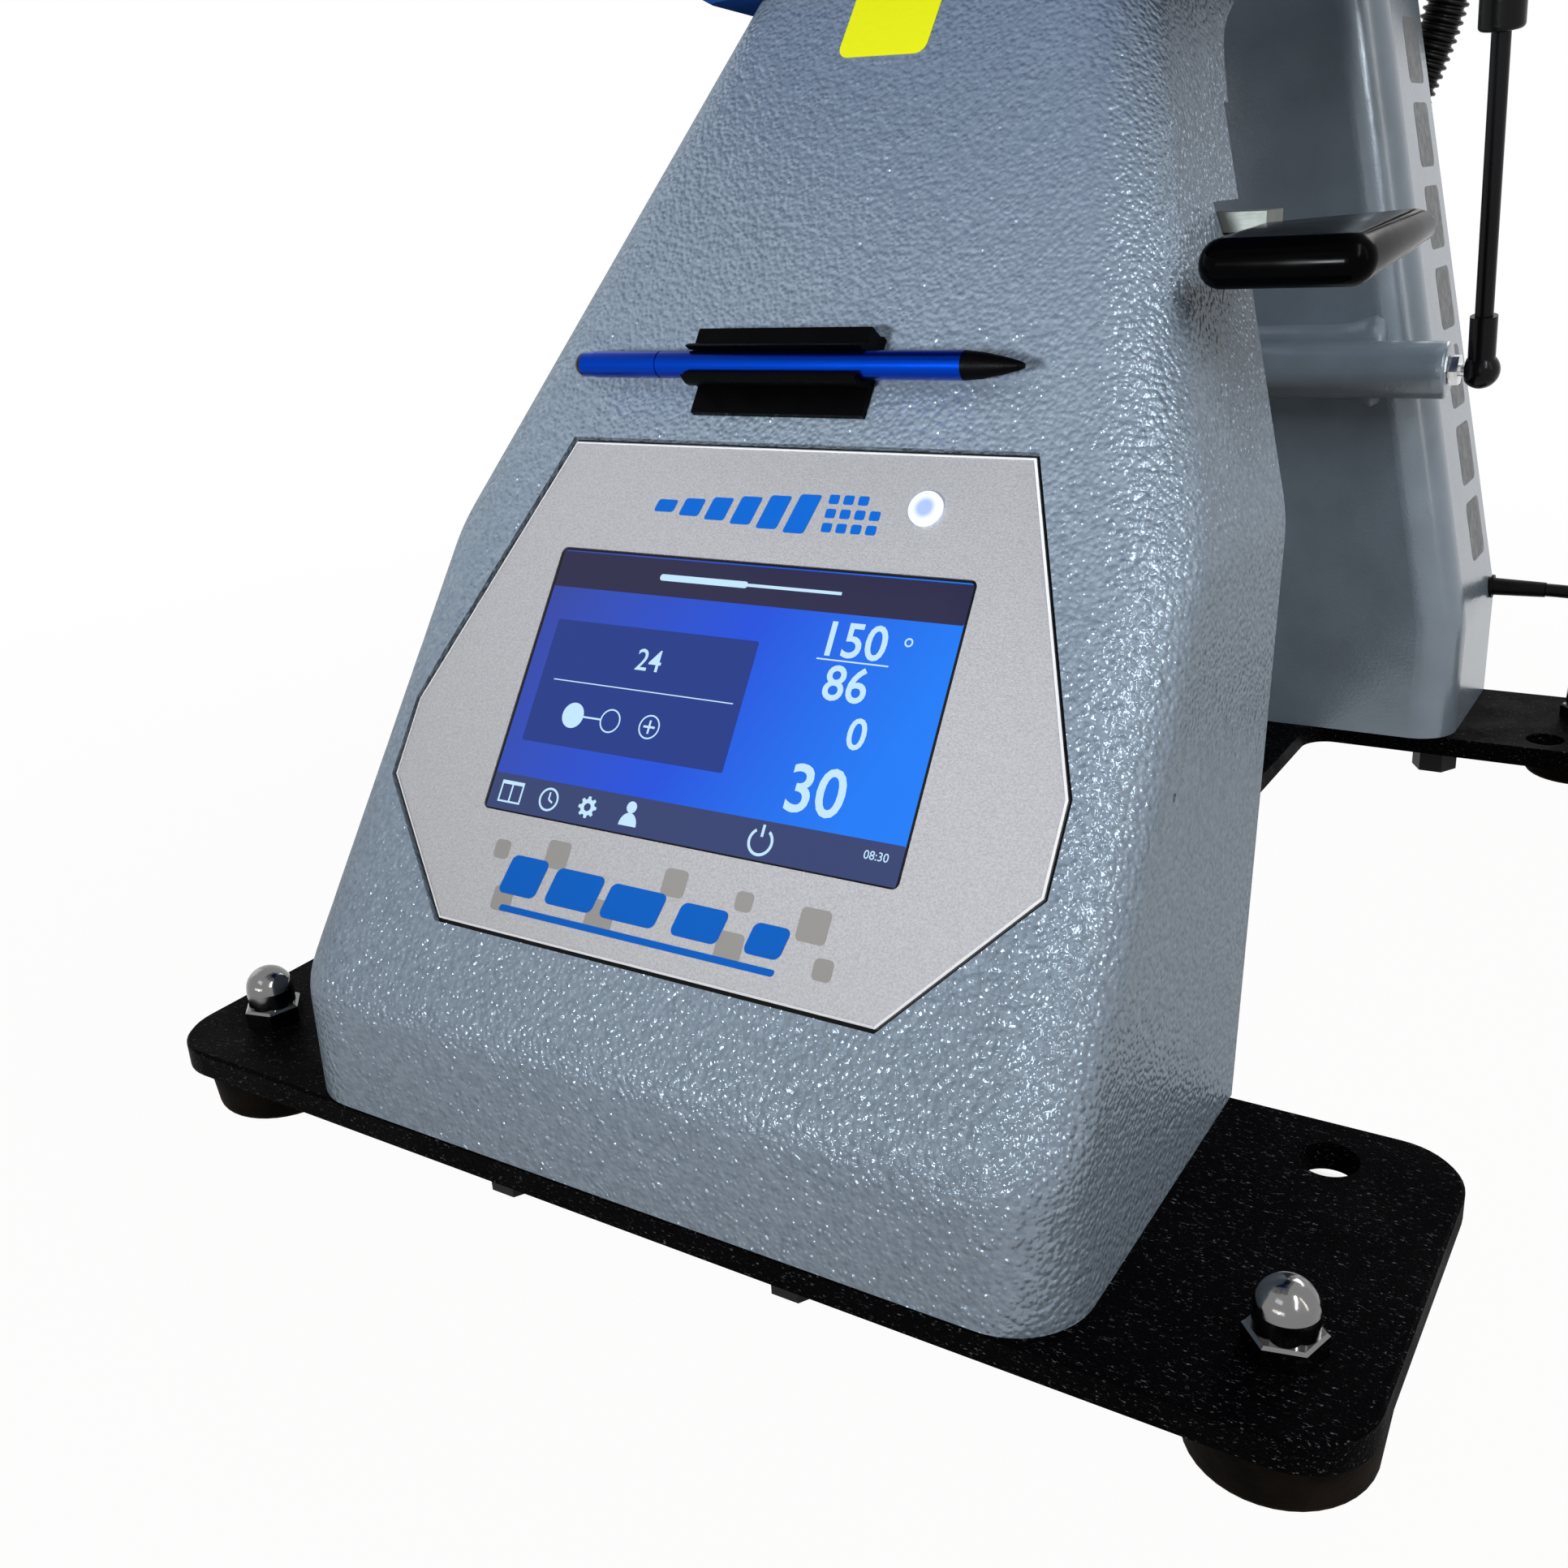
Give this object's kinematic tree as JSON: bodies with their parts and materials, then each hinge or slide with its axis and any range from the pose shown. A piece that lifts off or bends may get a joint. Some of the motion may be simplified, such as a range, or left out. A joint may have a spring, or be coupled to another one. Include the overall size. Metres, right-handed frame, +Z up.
{
  "type": "cap heat press",
  "caption": "Twin-column heat press with a leaning touch-screen column, a draw-out lower platen and a gas-strut head.",
  "frame": {"origin": "middle of the machine at floor level, under the centre of its outline without the free cord", "axes": "+Z up, +Y from the control panel to the rear column, +X to the right of an operator who stands at the control panel"},
  "size_m": [0.6046, 0.801, 0.9803],
  "materials": {
    "black_plate": "satin black powder coat with fine speckle",
    "rubber": "matte moulded rubber",
    "zinc_steel": "bright zinc plate",
    "chrome": "polished",
    "black_steel": "black oxide",
    "hammertone": "glossy silver-grey hammertone",
    "panel_grey": "satin grey",
    "screen": "glossy touch screen",
    "light": "frosted lens",
    "black_plastic": "moulded black plastic",
    "pen_blue": "metallic blue anodised",
    "yoke_blue": "glossy blue enamel",
    "bright_steel": "machined",
    "dark_steel": "blackened",
    "bare_aluminium": "machined",
    "pad_rubber": "matte silicone foam",
    "black_vinyl": "dipped vinyl, glossy",
    "column_grey": "satin slate grey paint",
    "bronze": "machined bronze",
    "switch_red": "glossy red",
    "conduit_black": "corrugated nylon",
    "cord_black": "smooth cable jacket",
    "strut_rod": "black nitrided, polished",
    "strut_black": "gloss black",
    "platen_coat": "grey non-stick coating",
    "print_blue": "screen-printed blue",
    "print_grey": "screen-printed grey",
    "label_yellow": "yellow vinyl sticker, blank"
  },
  "bodies": {
    "base": {"base_plate": "black_plate", "rubber_feet": "rubber", "foot_bolts": "zinc_steel", "foot_acorn_nuts": "chrome", "front_column_bolts": "black_steel", "rear_column_bolts": "black_steel", "column_washers": "zinc_steel", "front_column": "hammertone", "column_back_cover": "hammertone", "faceplate": "panel_grey", "panel_backing": "black_steel", "touch_screen": "screen", "status_light": "light", "stylus_clip": "black_plastic", "platen_yoke": "yoke_blue", "yoke_bolts": "black_steel", "slide_rails": "bright_steel", "lever_bracket": "zinc_steel", "rear_column": "column_grey", "rear_cover": "column_grey", "strut_cross_tube": "column_grey", "lower_ball_studs": "bright_steel", "pivot_head": "column_grey", "pivot_bushes": "bronze", "switch_bezel": "black_plastic", "conduit_gland_lower": "black_plastic", "mains_gland": "black_plastic", "mains_cord": "cord_black", "cord_coil": "cord_black", "mains_plug": "cord_black"},
    "carriage": {"slide_blocks": "dark_steel", "carriage_plate": "zinc_steel", "lower_platen": "bare_aluminium", "lower_pad": "pad_rubber", "draw_handle": "chrome"},
    "lock": {"lock_pin": "bright_steel"},
    "lever": {"release_lever": "bright_steel", "lever_grip": "black_vinyl"},
    "stylus": {"stylus_barrel": "pen_blue", "stylus_tip": "black_plastic"},
    "rocker": {"power_rocker": "switch_red"},
    "head": {"arm": "hammertone", "pivot_shaft": "bright_steel", "arm_strut_tube": "hammertone", "spindle_nut": "bronze", "lift_handle": "hammertone", "handle_grip": "black_vinyl", "conduit_gland_upper": "black_plastic", "conduit": "conduit_black"},
    "heat": {"platen_hub": "zinc_steel", "heat_platen": "platen_coat", "platen_cover": "yoke_blue"},
    "knob": {"pressure_spindle": "bright_steel", "pressure_knob": "black_plastic"},
    "rod_right": {"strut_rod_right": "strut_rod"},
    "rod_left": {"strut_rod_left": "strut_rod"},
    "cylinder_right": {"strut_cylinder_right": "strut_black", "upper_ball_stud_right": "bright_steel"},
    "cylinder_left": {"strut_cylinder_left": "strut_black", "upper_ball_stud_left": "bright_steel"}
  },
  "joints": [
    {"name": "arm_lift", "type": "hinge", "parent": "base", "child": "head", "pos_m": [0, 0.285, 0.53], "axis": [1, 0, 0], "range_deg": [0, 40], "stiffness_Nm_per_rad": 60, "springref_deg": -120.32, "deforming": ["conduit"]},
    {"name": "pressure_travel", "type": "slide", "parent": "head", "child": "heat", "axis": [0, 0.6428, 0.766], "range_m": [0, 0.009]},
    {"name": "knob_turn", "type": "hinge", "parent": "heat", "child": "knob", "pos_m": [0, 0.01395, 0.7966], "axis": [0, 0.6428, 0.766], "range_deg": [0, 1090]},
    {"name": "platen_draw", "type": "slide", "parent": "base", "child": "carriage", "axis": [0, -1, 0], "range_m": [0, 0.18]},
    {"name": "lever_turn", "type": "hinge", "parent": "base", "child": "lever", "pos_m": [0.06, -0.064, 0.292], "axis": [0, -1, 0], "range_deg": [0, 4]},
    {"name": "lock_pin_lift", "type": "slide", "parent": "base", "child": "lock", "axis": [0, 0, 1], "range_m": [0, 0.0066]},
    {"name": "stylus_pull", "type": "slide", "parent": "base", "child": "stylus", "axis": [1, 0, 0], "range_m": [0, 0.13]},
    {"name": "rocker_tilt", "type": "hinge", "parent": "base", "child": "rocker", "pos_m": [-0.062, 0.3335, 0.092], "axis": [1, 0, 0], "range_deg": [0, 16]},
    {"name": "strut_tilt_right", "type": "hinge", "parent": "base", "child": "rod_right", "pos_m": [0.1395, 0.222, 0.217], "axis": [1, 0, 0], "range_deg": [-1, 1]},
    {"name": "strut_slide_right", "type": "slide", "parent": "rod_right", "child": "cylinder_right", "axis": [0, -0.1668, 0.986], "range_m": [-0.083, 0.001]},
    {"name": "strut_tilt_left", "type": "hinge", "parent": "base", "child": "rod_left", "pos_m": [-0.1395, 0.222, 0.217], "axis": [1, 0, 0], "range_deg": [-1, 1]},
    {"name": "strut_slide_left", "type": "slide", "parent": "rod_left", "child": "cylinder_left", "axis": [0, -0.1668, 0.986], "range_m": [-0.083, 0.001]}
  ],
  "couplings": [
    {"joint": "knob_turn", "follows": "pressure_travel", "rad_per_m": 2094.4},
    {"joint": "lock_pin_lift", "follows": "lever_turn", "m_per_rad": 0.093106},
    {"joint": "strut_tilt_right", "follows": "arm_lift", "ratio": -0.01375},
    {"joint": "strut_slide_right", "follows": "arm_lift", "m_per_rad": -0.11789},
    {"joint": "strut_tilt_left", "follows": "arm_lift", "ratio": -0.01375},
    {"joint": "strut_slide_left", "follows": "arm_lift", "m_per_rad": -0.11789}
  ]
}
